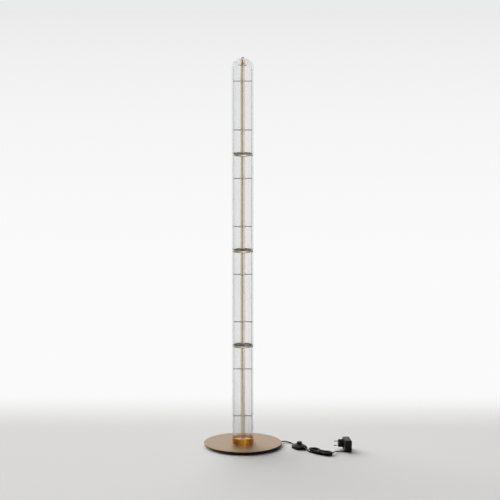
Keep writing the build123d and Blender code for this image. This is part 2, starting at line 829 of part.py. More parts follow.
with BuildPart() as adapter_board:
    with BuildSketch(end_plane.offset(adapter_board_x)):
        with Locations((adapter_board_shift, half_height)):
            Rectangle(adapter_board_length, adapter_board_height)
    extrude(amount=board_thickness)
    with BuildSketch(end_plane.offset(adapter_board_x)):
        with Locations((adapter_board_shift, half_height)):
            Rectangle(transformer_length, transformer_height)
        with Locations((adapter_board_shift - capacitor_shift, half_height)):
            Circle(capacitor_radius)
    extrude(amount=-transformer_depth)
save(adapter_board, "adapter_board")

outlet_plane = end_plane.offset(-half_depth)
with BuildPart() as adapter_relief:
    with BuildSketch(outlet_plane):
        with Locations(outlet):
            Circle(outlet_neck_radius)
    extrude(amount=adapter_face)
    with BuildSketch(outlet_plane):
        with Locations(outlet):
            Circle(outlet_flange_radius)
    extrude(amount=-outlet_flange)
    with BuildSketch(outlet_plane.offset(-outlet_flange)):
        with Locations(outlet):
            Circle(outlet_flange_radius - loose)
    with BuildSketch(outlet_plane.offset(-outlet_flange - outlet_taper)):
        with Locations(outlet):
            Circle(cord_radius + slip)
    loft()
save(adapter_relief, "adapter_relief")

# Hank: one tube in two layers, whose loops are drawn in at the waist
hank_plane = Plane(
    origin=(hank_x, hank_y, 0),
    x_dir=(cos(radians(hank_angle)), sin(radians(hank_angle)), 0),
    z_dir=(0, 0, 1),
)
layer_one = hank_lift + cord_radius
layer_two = layer_one + hank_layer_step


def biarc(first, first_way, last, last_way):
    """Join two points with two arcs that leave and arrive along the given ways."""
    across = last - first
    ways = first_way + last_way
    bend = 2 * (1 - first_way.dot(last_way))
    if bend < 1e-6:
        reach = across.dot(across) / (2 * across.dot(ways))
    else:
        along = across.dot(ways)
        reach = (-along + (along**2 + bend * across.dot(across)) ** 0.5) / bend
    near = first + first_way * reach
    far = last - last_way * reach
    middle = (near + far) / 2
    middle_way = (far - near).normalized()
    for start, way, end in ((first, first_way, middle), (middle, middle_way, last)):
        if way.get_angle(end - start) < 0.01:
            Line(start, end)
        else:
            TangentArc(start, end, tangent=way)


def hank_run(turn):
    """Give the three stations of a run: the left end's place, the waist and the right end's place."""
    side = -1 if turn % 2 == 0 else 1
    inward = min(turn, 2 * hank_half_turns - turn)
    height = layer_one if turn < hank_half_turns else layer_two
    entry_height = layer_one if turn <= hank_half_turns else layer_two
    left = side * (hank_left_half - inward * hank_turn_step) + hank_left_shift
    waist = side * (hank_waist_half - inward * hank_waist_step)
    right = side * (hank_right_half - inward * hank_turn_step) + hank_right_shift
    places = [(-hank_left, left), (0, waist), (hank_right, right)]
    if side > 0:
        places.reverse()
    first, *others = places
    return [Vector(*first, entry_height)] + [Vector(*place, height) for place in others]


def hank_stations():
    """List the points and ways of the hank's route, from the switch end to the adapter end."""
    start_way = Vector(1, 0).rotate(Axis.Z, hank_start_heading)
    first = Vector(*hank_start, layer_one)
    yield first - start_way * cord_stub, start_way
    yield first, start_way
    for turn in range(2 * hank_half_turns + 1):
        side = -1 if turn % 2 == 0 else 1
        run = hank_run(turn)
        for point in run[1:] if turn == 0 else run:
            yield point, Vector(-side, 0, 0)
        if turn < 2 * hank_half_turns:
            middle = (run[-1] + hank_run(turn + 1)[0]) / 2
            reach = abs(run[-1].Y - hank_run(turn + 1)[0].Y) / 2
            yield Vector(middle.X - side * reach, middle.Y, run[-1].Z), Vector(0, -side, 0)
    bent = radians(hank_exit_turn)
    centre = run[-1] + Vector(0, hank_exit_radius, 0)
    end_way = Vector(cos(bent), sin(bent), 0)
    end = centre + Vector(sin(bent), -cos(bent), 0) * hank_exit_radius
    yield end, end_way
    yield end + end_way * cord_stub, end_way


def hank_to_floor(way):
    """Turn a way drawn along the hank's own axes into one on the floor."""
    return (hank_plane.x_dir * way.X + hank_plane.y_dir * way.Y).normalized()


stations = [(hank_plane.from_local_coords(point), hank_to_floor(way)) for point, way in hank_stations()]
with BuildPart() as cord_hank:
    with BuildLine() as hank_route:
        for (start, start_way), (end, end_way) in zip(stations, stations[1:]):
            biarc(start, start_way, end, end_way)
    with BuildSketch(Plane(origin=stations[0][0], z_dir=stations[0][1])):
        Circle(cord_radius)
    sweep(path=hank_route.wire())
save(cord_hank, "cord_hank")


def least_self_gap(wire, tube_radius):
    """Measure on points how near a wound tube comes to itself."""
    spacing = 2.0
    count = int(wire.length / spacing)
    points = [wire.position_at(n / count) for n in range(count + 1)]
    skip = int(4 * tube_radius / spacing) + 2
    nearest = min(
        (points[i] - points[j]).length for i in range(len(points)) for j in range(i + skip, len(points))
    )
    return nearest - 2 * tube_radius


print("cord_hank length", round(hank_route.wire().length, 1))
print("cord_hank least gap to itself", round(least_self_gap(hank_route.wire(), cord_radius), 2))

tie_plane = Plane(
    origin=hank_plane.from_local_coords(Vector(-tie_width / 2, 0, 0)),
    x_dir=hank_plane.y_dir,
    z_dir=hank_plane.x_dir,
)
near_edge = -hank_waist_half - cord_radius - tie_slack
far_edge = hank_waist_half - hank_waist_step + cord_radius + tie_slack
tie_middle = (near_edge + far_edge) / 2
bundle_bottom = hank_lift - slip
bundle_top = layer_two + cord_radius + slip
bundle_width = far_edge - near_edge
bundle_height = bundle_top - bundle_bottom
with BuildPart() as hank_tie:
    with BuildSketch(tie_plane):
        with Locations((tie_middle, (bundle_bottom + bundle_top) / 2)):
            RectangleRounded(
                bundle_width + 2 * tie_thickness,
                bundle_height + 2 * tie_thickness,
                cord_radius + tie_thickness,
            )
            RectangleRounded(bundle_width, bundle_height, cord_radius, mode=Mode.SUBTRACT)
        with Locations((tie_middle, bundle_top + tie_head / 2)):
            Rectangle(2 * tie_head, tie_head)
    extrude(amount=tie_width)
save(hank_tie, "hank_tie")

# Free stretches of the cord; their first and last runs lie along what they meet
gland_tip = lead_plane.offset(gland_flange + gland_taper).origin
switch_way = switch_plane.x_dir
adapter_tip = outlet_plane.offset(-outlet_flange - outlet_taper).from_local_coords(Vector(*outlet, 0))
hank_first, hank_first_way = stations[0]
hank_last, hank_last_way = stations[-1]
cord_tube("cord_lead", [
    gland_tip,
    gland_tip + lead_direction * lead_run,
    (203.5, 48.5, 3.9),
    (213.6, 41.6, 3.0),
    (220.4, 31.4, 3.1),
    (223.0, 19.6, 4.4),
    (223.2, 8.0, 7.2),
    relief_tips["switch_relief_in"] - switch_way * link_run,
    relief_tips["switch_relief_in"],
])
cord_tube("cord_link", [
    relief_tips["switch_relief_out"],
    relief_tips["switch_relief_out"] + switch_way * link_run,
    hank_first - hank_first_way * link_run,
    hank_first,
])
cord_tube("cord_tail", [
    hank_last,
    hank_last + hank_last_way * tail_run,
    (410.0, -151.0, 9.6),
    (414.0, -141.0, 8.6),
    (419.5, -133.8, 6.8),
    (426.5, -127.5, 5.2),
    adapter_tip - adapter_plane.x_dir * outlet_run,
    adapter_tip,
])
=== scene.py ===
"""Looks for the ribbed glass floor lamp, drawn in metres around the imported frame."""

import json
import math

import bmesh
import bpy
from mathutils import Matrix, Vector


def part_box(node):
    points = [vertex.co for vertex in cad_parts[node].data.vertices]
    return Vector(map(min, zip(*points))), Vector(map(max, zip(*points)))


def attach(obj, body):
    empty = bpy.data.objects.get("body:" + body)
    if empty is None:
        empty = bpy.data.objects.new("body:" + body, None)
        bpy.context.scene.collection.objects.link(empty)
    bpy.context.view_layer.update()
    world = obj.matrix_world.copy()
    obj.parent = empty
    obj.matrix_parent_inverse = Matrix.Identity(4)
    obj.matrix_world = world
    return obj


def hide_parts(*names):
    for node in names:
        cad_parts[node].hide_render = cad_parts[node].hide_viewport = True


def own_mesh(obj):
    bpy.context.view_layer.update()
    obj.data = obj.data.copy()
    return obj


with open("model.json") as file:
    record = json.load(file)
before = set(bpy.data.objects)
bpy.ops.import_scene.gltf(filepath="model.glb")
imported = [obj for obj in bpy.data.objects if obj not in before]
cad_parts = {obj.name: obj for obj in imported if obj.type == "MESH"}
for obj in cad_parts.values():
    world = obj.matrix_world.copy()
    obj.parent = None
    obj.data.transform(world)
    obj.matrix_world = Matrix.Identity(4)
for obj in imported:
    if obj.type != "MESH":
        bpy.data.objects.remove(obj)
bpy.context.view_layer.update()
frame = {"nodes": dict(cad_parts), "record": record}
lamp_nodes = frame["nodes"]

MM = 0.001
BODY = "lamp"

# Sizes shared with the part, in millimetres
CORD_DIAMETER = 5.5
CORD_LAYERS = (3.6, 9.9)
GLASS_RADIUS = 47.5
GLASS_BORE = 42.0
REEDS = 60
REED_DEPTH = 0.25
GLASS_ENDS = ((34.0, 460.3), (467.3, 893.6), (900.6, 1326.9))
DOME_FOOT = 1333.9
DOME_SHOULDER = 1711.9
FINIAL_HOLE = 4.3
FINIAL_RECESS = 6.6
FINIAL_FLOOR = 1756.8


# Camera
LENS, SENSOR_WIDTH, FAR_CLIP = 165.6, 36.0, 100.0
CAMERA_PLACE, CAMERA_TILT = (0.0323, -10.13175, 2.63435), 80.28


def set_camera():
    """Stand the camera where the photograph was taken from."""
    lens = bpy.data.cameras.new("photo_camera")
    lens.lens = LENS
    lens.sensor_width = SENSOR_WIDTH
    lens.clip_end = FAR_CLIP
    camera = bpy.data.objects.new("photo_camera", lens)
    camera.location = CAMERA_PLACE
    camera.rotation_euler = (math.radians(CAMERA_TILT), 0.0, 0.0)
    bpy.context.collection.objects.link(camera)
    bpy.context.scene.camera = camera


set_camera()


# Cord
HANK_CENTRE = (346.0, -142.0)
HANK_HEADING = -44.0
HANK_HALF_TURNS = 4
HANK_LEFT, HANK_RIGHT = 49.0, 38.0
HANK_LEFT_HALF, HANK_WAIST_HALF, HANK_RIGHT_HALF = 21.0, 19.5, 23.5
HANK_LEFT_SHIFT, HANK_RIGHT_SHIFT = 11.7, 6.2
HANK_TURN_STEP, HANK_WAIST_STEP = 3.1, 4.2
HANK_START, HANK_START_HEADING = (-40.7, -20.4), -21.0
HANK_EXIT_TURN, HANK_EXIT_RADIUS = 106.0, 25.3
LEAD_ROUTE = (
    (160.34, 42.96, 6.4), (190.77, 51.12, 6.4), (203.5, 48.5, 3.9), (213.6, 41.6, 3.0), (220.4, 31.4, 3.1),
    (223.0, 19.6, 4.4), (223.2, 8.0, 7.2), (225.32, -3.51, 9.0), (230.09, -11.14, 9.0),
)
LINK_ROUTE = ((279.91, -90.86, 9.0), (284.68, -98.49, 9.0))
LINK_RUN, TAIL_RUN, CORD_STUB = 9.0, 8.0, 5.5
NO_BEND = 1e-6
TAIL_ROUTE = (
    (410.0, -151.0, 9.6), (414.0, -141.0, 8.6), (419.5, -133.8, 6.8), (426.5, -127.5, 5.2),
    (435.10, -121.17, 4.2), (445.03, -120.04, 4.2),
)


def hank_run(turn):
    """Give the three stations of one run of the hank, along its own axes."""
    side = -1 if turn % 2 == 0 else 1
    inward = min(turn, 2 * HANK_HALF_TURNS - turn)
    height = CORD_LAYERS[turn >= HANK_HALF_TURNS]
    entry = CORD_LAYERS[turn > HANK_HALF_TURNS]
    left = side * (HANK_LEFT_HALF - inward * HANK_TURN_STEP) + HANK_LEFT_SHIFT
    waist = side * (HANK_WAIST_HALF - inward * HANK_WAIST_STEP)
    right = side * (HANK_RIGHT_HALF - inward * HANK_TURN_STEP) + HANK_RIGHT_SHIFT
    places = [(-HANK_LEFT, left), (0.0, waist), (HANK_RIGHT, right)]
    if side > 0:
        places.reverse()
    first, *others = places
    return [Vector((*first, entry))] + [Vector((*place, height)) for place in others]


def hank_stations():
    """List the places and ways of the hank's cord, from the switch end to the adapter end."""
    heading = math.radians(HANK_START_HEADING)
    yield Vector((*HANK_START, CORD_LAYERS[0])), Vector((math.cos(heading), math.sin(heading), 0.0))
    for turn in range(2 * HANK_HALF_TURNS + 1):
        side = -1 if turn % 2 == 0 else 1
        run = hank_run(turn)
        for point in run[1:] if turn == 0 else run:
            yield point, Vector((-side, 0.0, 0.0))
        if turn < 2 * HANK_HALF_TURNS:
            after = hank_run(turn + 1)[0]
            reach = abs(run[-1].y - after.y) / 2
            middle = (run[-1] + after) / 2
            yield Vector((middle.x - side * reach, middle.y, run[-1].z)), Vector((0.0, -side, 0.0))
    bent = math.radians(HANK_EXIT_TURN)
    centre = run[-1] + Vector((0.0, HANK_EXIT_RADIUS, 0.0))
    yield centre + Vector((math.sin(bent), -math.cos(bent), 0.0)) * HANK_EXIT_RADIUS, Vector(
        (math.cos(bent), math.sin(bent), 0.0)
    )


def run_corners(first, first_way, last, last_way):
    """Give the two corners that the cord rounds on its way between two stations."""
    across = last - first
    ways = first_way + last_way
    bend = 2 * (1 - first_way.dot(last_way))
    if bend < NO_BEND:
        reach = across.dot(across) / (2 * across.dot(ways))
    else:
        along = across.dot(ways)
        reach = (-along + (along**2 + bend * across.dot(across)) ** 0.5) / bend
    return first + first_way * reach, last - last_way * reach


def hank_route():
    """List the corners of the hank's cord on the floor, with its two loose ends."""
    heading = math.radians(HANK_HEADING)
    across = Vector((math.cos(heading), math.sin(heading), 0.0))
    up = Vector((-math.sin(heading), math.cos(heading), 0.0))

    def on_floor(spot, origin=Vector((*HANK_CENTRE, 0.0))):
        return origin + across * spot.x + up * spot.y + Vector((0.0, 0.0, spot.z))

    stations = list(hank_stations())
    (first, first_way), (last, last_way) = stations[0], stations[-1]
    corners = [on_floor(first - first_way * (CORD_STUB + LINK_RUN))]
    for (start, start_way), (end, end_way) in zip(stations, stations[1:]):
        corners += [on_floor(corner) for corner in run_corners(start, start_way, end, end_way)]
    corners.append(on_floor(last + last_way * (CORD_STUB + TAIL_RUN)))
    return corners


def thick_line(name, kind, places, thickness, roundness):
    """Draw a round line through places, as thick as the radius of its points."""
    line = bpy.data.curves.new(name, "CURVE")
    line.dimensions = "3D"
    line.bevel_depth = 1.0
    line.bevel_resolution = roundness
    line.use_fill_caps = True
    spline = line.splines.new(kind)
    spline.points.add(len(places) - 1)
    for spot, place in zip(spline.points, places):
        spot.co = (*(value * MM for value in place), 1.0)
        spot.radius = thickness / 2 * MM
    drawn = bpy.data.objects.new(name, line)
    bpy.context.collection.objects.link(drawn)
    return drawn, spline


def cord_line(name, route):
    """Draw a cord as one smooth line through its route's corners."""
    cord, spline = thick_line(name, "NURBS", route, CORD_DIAMETER, roundness=6)
    spline.order_u = 3
    spline.use_endpoint_u = True
    spline.resolution_u = 12
    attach(cord, BODY)
    return cord


lead = cord_line("lead", LEAD_ROUTE)
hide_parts("cord_lead")
supply = cord_line("supply", [*LINK_ROUTE, *hank_route(), *TAIL_ROUTE])
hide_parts("cord_link", "cord_hank", "cord_tail")


# Node helpers
def feed(tree, socket, value):
    """Link another socket in, or write in a plain value."""
    if isinstance(value, bpy.types.NodeSocket):
        tree.links.new(value, socket)
    else:
        socket.default_value = value


def put(tree, kind, settings=None, values=None):
    """Add a shader node with its settings and feed its sockets."""
    made = tree.nodes.new(kind)
    for key, value in (settings or {}).items():
        setattr(made, key, value)
    for key, value in (values or {}).items():
        feed(tree, made.inputs[key], value)
    return made


def maths(tree, operation, first, second=0.5):
    """Give the result of a maths node."""
    return put(tree, "ShaderNodeMath", {"operation": operation}, {0: first, 1: second}).outputs[0]


def largest(tree, first, *others):
    """Give the largest of several values."""
    for other in others:
        first = maths(tree, "MAXIMUM", first, other)
    return first


def ramp(tree, factor, low, high, start=0.0, end=1.0, easing="LINEAR"):
    """Map a value from one range to another, held at both ends."""
    made = put(tree, "ShaderNodeMapRange", {"clamp": True, "interpolation_type": easing},
               {"Value": factor, "From Min": low, "From Max": high, "To Min": start, "To Max": end})
    return made.outputs["Result"]


def blend(tree, share, first, second):
    """Mix two colours."""
    return put(tree, "ShaderNodeMix", {"data_type": "RGBA"}, {0: share, 6: first, 7: second}).outputs[2]


def blend_shaders(tree, share, first, second):
    """Mix two shaders."""
    return put(tree, "ShaderNodeMixShader", values={0: share, 1: first, 2: second}).outputs[0]


def split(tree, vector):
    """Give the three parts of a vector."""
    return put(tree, "ShaderNodeSeparateXYZ", values={0: vector}).outputs


def along_way(tree, way, direction):
    """Give how far a way points in a direction."""
    made = put(tree, "ShaderNodeVectorMath", {"operation": "DOT_PRODUCT"}, {0: way, 1: direction})
    return made.outputs["Value"]


def own_place(tree):
    """Give the place on the piece itself."""
    return put(tree, "ShaderNodeTexCoord").outputs["Object"]


def upward_part(tree):
    """Give how far the surface faces up."""
    return split(tree, put(tree, "ShaderNodeNewGeometry").outputs["Normal"])[2]


def noise(tree, place, size, detail, roughness):
    """Give a smooth random value over a place."""
    made = put(tree, "ShaderNodeTexNoise",
               values={"Vector": place, "Scale": size, "Detail": detail, "Roughness": roughness})
    return made.outputs["Fac"]


def relief(tree, height, depth, amount):
    """Give the direction of the surface with a fine relief on it."""
    made = put(tree, "ShaderNodeBump", values={"Height": height, "Distance": depth, "Strength": amount})
    return made.outputs["Normal"]


def new_group(name, takes, gives):
    """Start a shader node group, and give it with what it takes and what it gives."""
    group = bpy.data.node_groups.new(name, "ShaderNodeTree")
    kinds = {"value": "NodeSocketFloat", "colour": "NodeSocketColor", "vector": "NodeSocketVector"}
    for label, kind, value in takes:
        socket = group.interface.new_socket(name=label, in_out="INPUT", socket_type=kinds[kind])
        if value is not None:
            socket.default_value = value
    for label, kind in gives:
        group.interface.new_socket(name=label, in_out="OUTPUT", socket_type=kinds[kind])
    return group, group.nodes.new("NodeGroupInput").outputs, group.nodes.new("NodeGroupOutput").inputs


def linear(level):
    """Turn an sRGB level from 0 to 255 into linear light."""
    share = level / 255
    return share / 12.92 if share <= 0.04045 else ((share + 0.055) / 1.055) ** 2.4


def colour(red, green, blue):
    """Give a linear colour from sRGB levels."""
    return (linear(red), linear(green), linear(blue), 1.0)


# Shared surface effects
PATCH_SPAN = (0.32, 0.68)
UPWARD_SPAN = (0.4, 1.0)
FLECK_SIZE, FLECK_SPAN = 260.0, (0.35, 0.75)


def build_handling():
    """Uneven sheen and tone left by hands and cloths."""
    group, given, result = new_group(
        "handling",
        [("Tone", "colour", None), ("Worn Tone", "colour", None), ("Size", "value", 40.0),
         ("Smooth", "value", 0.2), ("Dull", "value", 0.4), ("Bias", "value", 0.5)],
        [("Colour", "colour"), ("Sheen", "value")],
    )
    spread = ramp(group, noise(group, own_place(group), given["Size"], 5.0, 0.6), *PATCH_SPAN)
    lean = maths(group, "POWER", spread, given["Bias"])
    feed(group, result["Colour"], blend(group, lean, given["Tone"], given["Worn Tone"]))
    feed(group, result["Sheen"], ramp(group, spread, 0.0, 1.0, given["Smooth"], given["Dull"]))
    return group


def build_grain():
    """Fine random grain of moulded, cast or coated surfaces."""
    group, given, result = new_group(
        "grain",
        [("Size", "value", 900.0), ("Depth", "value", 0.0001), ("Amount", "value", 0.5)],
        [("Normal", "vector")],
    )
    speckle = noise(group, own_place(group), given["Size"], 3.0, 0.7)
    feed(group, result["Normal"], relief(group, speckle, given["Depth"], given["Amount"]))
    return group


def build_turned_lines():
    """Fine rings left by turning and polishing round metal on its axis."""
    group, given, result = new_group(
        "turned_lines",
        [("Count", "value", 3000.0), ("Depth", "value", 0.00003), ("Amount", "value", 0.5)],
        [("Normal", "vector")],
    )
    across, deep, high = split(group, own_place(group))
    square = maths(group, "ADD", maths(group, "MULTIPLY", across, across), maths(group, "MULTIPLY", deep, deep))
    section = put(group, "ShaderNodeCombineXYZ", values={0: maths(group, "SQRT", square), 1: high})
    rings = noise(group, section.outputs[0], given["Count"], 2.0, 0.8)
    feed(group, result["Normal"], relief(group, rings, given["Depth"], given["Amount"]))
    return group


def build_settled_dust():
    """Thin dust that lies on what faces up."""
    group, given, result = new_group(
        "settled_dust",
        [("Clean", "colour", None), ("Dust", "colour", None), ("Amount", "value", 0.1)],
        [("Colour", "colour")],
    )
    flecks = ramp(group, noise(group, own_place(group), FLECK_SIZE, 6.0, 0.75), *FLECK_SPAN)
    cover = maths(group, "MULTIPLY", ramp(group, upward_part(group), *UPWARD_SPAN), flecks)
    laid = maths(group, "MULTIPLY", cover, given["Amount"])
    feed(group, result["Colour"], blend(group, laid, given["Clean"], given["Dust"]))
    return group


handling = build_handling()
grain = build_grain()
turned_lines = build_turned_lines()
settled_dust = build_settled_dust()


# Finishes
def named(values):
    """Turn the spaces back on in the names of sockets."""
    return {key.replace("_", " "): value for key, value in values.items()}


def effect(tree, group, **values):
    """Place a shared effect with its own values, and give what comes out of it."""
    return put(tree, "ShaderNodeGroup", {"node_tree": group}, named(values)).outputs


def new_finish(name, **sockets):
    """Start a finish and set what is the same all over it on the shader itself."""
    made = bpy.data.materials.new(name)
    made.use_nodes = True
    shader = made.node_tree.nodes["Principled BSDF"]
    for key, value in named(sockets).items():
        shader.inputs[key].default_value = value
    return made, made.node_tree, shader


def worn_surface(tree, shader, tone, worn, smooth, dull, patches, bias, dust_tone, dust):
    """Colour and sheen of a surface that is handled and gathers a little dust."""
    hands = effect(tree, handling, Tone=tone, Worn_Tone=worn, Size=patches, Smooth=smooth, Dull=dull, Bias=bias)
    dusted = effect(tree, settled_dust, Clean=hands["Colour"], Dust=dust_tone, Amount=dust)
    feed(tree, shader.inputs["Base Color"], dusted["Colour"])
    feed(tree, shader.inputs["Roughness"], hands["Sheen"])


def moulded(name, tone, worn, smooth, dull, size=1200.0, depth=0.00012, amount=0.35, dust=0.12, patches=30.0,
            **sockets):
    """Moulded, cast or coated surface: uneven sheen, fine grain and a little dust."""
    made, tree, shader = new_finish(name, **sockets)
    worn_surface(tree, shader, tone, worn, smooth, dull, patches, 1.4, colour(170, 165, 158), dust)
    feed(tree, shader.inputs["Normal"], effect(tree, grain, Size=size, Depth=depth, Amount=amount)["Normal"])
    return made


def turned(name, tone, worn, smooth, dull, count=2600.0, depth=0.00002, amount=0.3, patches=22.0, dust=0.0,
           **sockets):
    """Turned round metal: rings on its axis and uneven sheen."""
    made, tree, shader = new_finish(name, Metallic=1.0, **sockets)
    worn_surface(tree, shader, tone, worn, smooth, dull, patches, 1.2, colour(175, 170, 162), dust)
    rings = effect(tree, turned_lines, Count=count, Depth=depth, Amount=amount)
    feed(tree, shader.inputs["Normal"], rings["Normal"])
    return made


STREAK_STRETCH, STREAK_SIZE = (1.0, 1.0, 0.012), 190.0
GLASS_TINTS = (
    (0.28, colour(230, 226, 236)), (0.41, colour(244, 242, 247)), (0.50, colour(241, 246, 244)),
    (0.59, colour(249, 242, 242)), (0.72, colour(236, 236, 242)),
)


def clear_glass(name):
    """Pressed clear glass: drawn streaks down its length, faint waves and finger marks."""
    made, tree, shader = new_finish(name, Transmission_Weight=1.0, IOR=1.47)
    drawn = put(tree, "ShaderNodeMapping", values={"Vector": own_place(tree), "Scale": STREAK_STRETCH})
    tints = put(tree, "ShaderNodeValToRGB", values={"Fac": noise(tree, drawn.outputs[0], STREAK_SIZE, 4.0, 0.75)})
    stops = tints.color_ramp.elements
    for share, _ in GLASS_TINTS[1:-1]:
        stops.new(share)
    for stop, (share, tint) in zip(stops, GLASS_TINTS):
        stop.position = share
        stop.color = tint
    feed(tree, shader.inputs["Base Color"], tints.outputs["Color"])
    hands = effect(tree, handling, Size=35.0, Smooth=0.0, Dull=0.05, Bias=1.0)
    feed(tree, shader.inputs["Roughness"], hands["Sheen"])
    waves = effect(tree, grain, Size=60.0, Depth=0.0002, Amount=0.06)
    feed(tree, shader.inputs["Normal"], waves["Normal"])
    return made


FACE_TONES = (colour(70, 44, 24), colour(86, 58, 36))
EDGE_TONE, EDGE_SPAN = colour(236, 218, 192), (0.8, 0.5)


def polished_edge(name):
    """Dark lacquered disc with a bright polished edge."""
    made, tree, shader = new_finish(name, Specular_IOR_Level=0.06)
    edge = ramp(tree, maths(tree, "ABSOLUTE", upward_part(tree)), *EDGE_SPAN)
    face = effect(tree, handling, Tone=FACE_TONES[0], Worn_Tone=FACE_TONES[1], Size=26.0, Smooth=0.3, Dull=0.42,
                  Bias=1.2)
    feed(tree, shader.inputs["Base Color"], blend(tree, edge, face["Colour"], EDGE_TONE))
    feed(tree, shader.inputs["Metallic"], edge)
    feed(tree, shader.inputs["Roughness"], face["Sheen"])
    rings = effect(tree, turned_lines, Count=2600.0, Depth=0.00002, Amount=0.2)
    feed(tree, shader.inputs["Normal"], rings["Normal"])
    return made


finishes = {
    "satin_bronze": turned("satin_bronze", colour(140, 115, 89), colour(150, 126, 99), 0.38, 0.48,
                           count=1500.0, depth=0.00004, amount=0.35, dust=0.06),
    "black_iron": moulded("black_iron", colour(14, 11, 9), colour(22, 18, 15), 0.55, 0.7, size=700.0,
                          depth=0.0004, amount=0.5, dust=0.0, Specular_IOR_Level=0.08),
    "polished_brass": turned("polished_brass", colour(242, 180, 74), colour(230, 164, 62), 0.2, 0.3,
                             count=3400.0, depth=0.00001, amount=0.2, Coat_Weight=0.35),
    # paler copy of the brass, painted light: the stems, their cap and the cone take it so that they look as bright
    # as they shine inside the glass
    "lightened_brass": turned("lightened_brass", colour(238, 222, 192), colour(228, 210, 178), 0.12, 0.2,
                         count=3400.0, depth=0.00001, amount=0.2),
    "dark_bronze": polished_edge("dark_bronze"),
    "ribbed_glass": clear_glass("ribbed_glass"),
    "spreader_steel": turned("spreader_steel", colour(206, 196, 182), colour(218, 209, 196), 0.2, 0.3,
                             amount=0.3),
    "clear_plastic": moulded("clear_plastic", colour(225, 226, 226), colour(235, 236, 236), 0.12, 0.25,
                             size=400.0, dust=0.0, Transmission_Weight=0.8),
    "opal_plastic": moulded("opal_plastic", colour(244, 240, 232), colour(248, 246, 240), 0.35, 0.5,
                            size=500.0, dust=0.0, Transmission_Weight=0.95),
    "board_plastic": moulded("board_plastic", colour(222, 221, 216), colour(232, 231, 227), 0.4, 0.55),
    "green_board": moulded("green_board", colour(22, 70, 42), colour(30, 84, 50), 0.35, 0.5),
    "zinc_steel": turned("zinc_steel", colour(168, 168, 164), colour(188, 188, 182), 0.25, 0.4),
    "bright_steel": turned("bright_steel", colour(196, 196, 196), colour(214, 214, 214), 0.12, 0.22,
                           amount=0.15),
    "pale_silicone": moulded("pale_silicone", colour(216, 208, 190), colour(226, 220, 205), 0.45, 0.6,
                             size=500.0, dust=0.04),
    "black_rubber": moulded("black_rubber", colour(26, 25, 25), colour(36, 35, 34), 0.55, 0.75, size=900.0,
                            depth=0.0002, amount=0.45),
    "cord_jacket": moulded("cord_jacket", colour(12, 10, 9), colour(24, 20, 17), 0.5, 0.62, size=1400.0,
                           depth=0.00008, amount=0.35, dust=0.0, Specular_IOR_Level=0.12),
    # darker copy of the nickel, painted shade: the plug pins and the finial nut take it for the dark room they
    # mirror
    "shaded_nickel": turned("shaded_nickel", colour(84, 80, 76), colour(104, 99, 94), 0.3, 0.42, amount=0.15),
    "wire_jacket": moulded("wire_jacket", colour(205, 204, 200), colour(216, 215, 211), 0.4, 0.5),
    "gloss_black": moulded("gloss_black", colour(12, 10, 9), colour(26, 21, 18), 0.38, 0.5, size=1600.0,
                           depth=0.00004, amount=0.25, dust=0.01, Specular_IOR_Level=0.15),
    "matte_black": moulded("matte_black", colour(13, 12, 12), colour(26, 23, 21), 0.42, 0.56, size=1500.0,
                           depth=0.0001, amount=0.4, dust=0.02, Specular_IOR_Level=0.15),
}


# Glass
REED_STEPS = 8
LIP = 0.5
DOME_STEPS = 26
RIB_FADING = 6
SHARP_ANGLE = 28


def reed_share(turned_by):
    """How far a place on a reed stands out, from 0 in the valley to 1 on its crown."""
    half = math.pi * GLASS_RADIUS / REEDS
    radius = (half**2 + REED_DEPTH**2) / (2 * REED_DEPTH)
    across = (turned_by - 0.5) * 2 * half
    return (math.sqrt(radius**2 - across**2) - (radius - REED_DEPTH)) / REED_DEPTH


CROWN_SHARES = [reed_share(number / REED_STEPS) for number in range(REED_STEPS)]


def glass_ring(mesh, radius, height, depth):
    """Add one ring of points, ribbed to a depth."""
    count = REEDS * REED_STEPS
    ring = []
    for number in range(count):
        turn = 2 * math.pi * number / count
        reach = (radius - depth * (1 - CROWN_SHARES[number % REED_STEPS])) * MM
        ring.append(mesh.verts.new((reach * math.cos(turn), reach * math.sin(turn), height * MM)))
    return ring


def join_rings(mesh, rings):
    """Face the strips between neighbouring rings, and between the last and the first."""
    for low, high in zip(rings, rings[1:] + rings[:1]):
        for number in range(len(low)):
            after = (number + 1) % len(low)
            mesh.faces.new((low[number], low[after], high[after], high[number]))


def glass_piece(name, profile, node):
    """Turn a ribbed profile, given as radius, height and rib depth, into a glass."""
    mesh = bmesh.new()
    join_rings(mesh, [glass_ring(mesh, *station) for station in profile])
    bmesh.ops.recalc_face_normals(mesh, faces=mesh.faces)
    data = bpy.data.meshes.new(name)
    mesh.to_mesh(data)
    mesh.free()
    data.shade_smooth()
    data.set_sharp_from_angle(angle=math.radians(SHARP_ANGLE))
    data.materials.append(finishes["ribbed_glass"])
    glass = bpy.data.objects.new(name, data)
    bpy.context.collection.objects.link(glass)
    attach(glass, BODY)
    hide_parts(node)


def tube_profile(bottom, top):
    """Ribbed outside, plain bore, and a small polished break at each lip."""
    return [
        (GLASS_BORE, bottom + LIP, 0.0), (GLASS_BORE + LIP, bottom, 0.0), (GLASS_RADIUS - LIP, bottom, REED_DEPTH),
        (GLASS_RADIUS, bottom + LIP, REED_DEPTH), (GLASS_RADIUS, top - LIP, REED_DEPTH),
        (GLASS_RADIUS - LIP, top, REED_DEPTH), (GLASS_BORE + LIP, top, 0.0), (GLASS_BORE, top - LIP, 0.0),
    ]


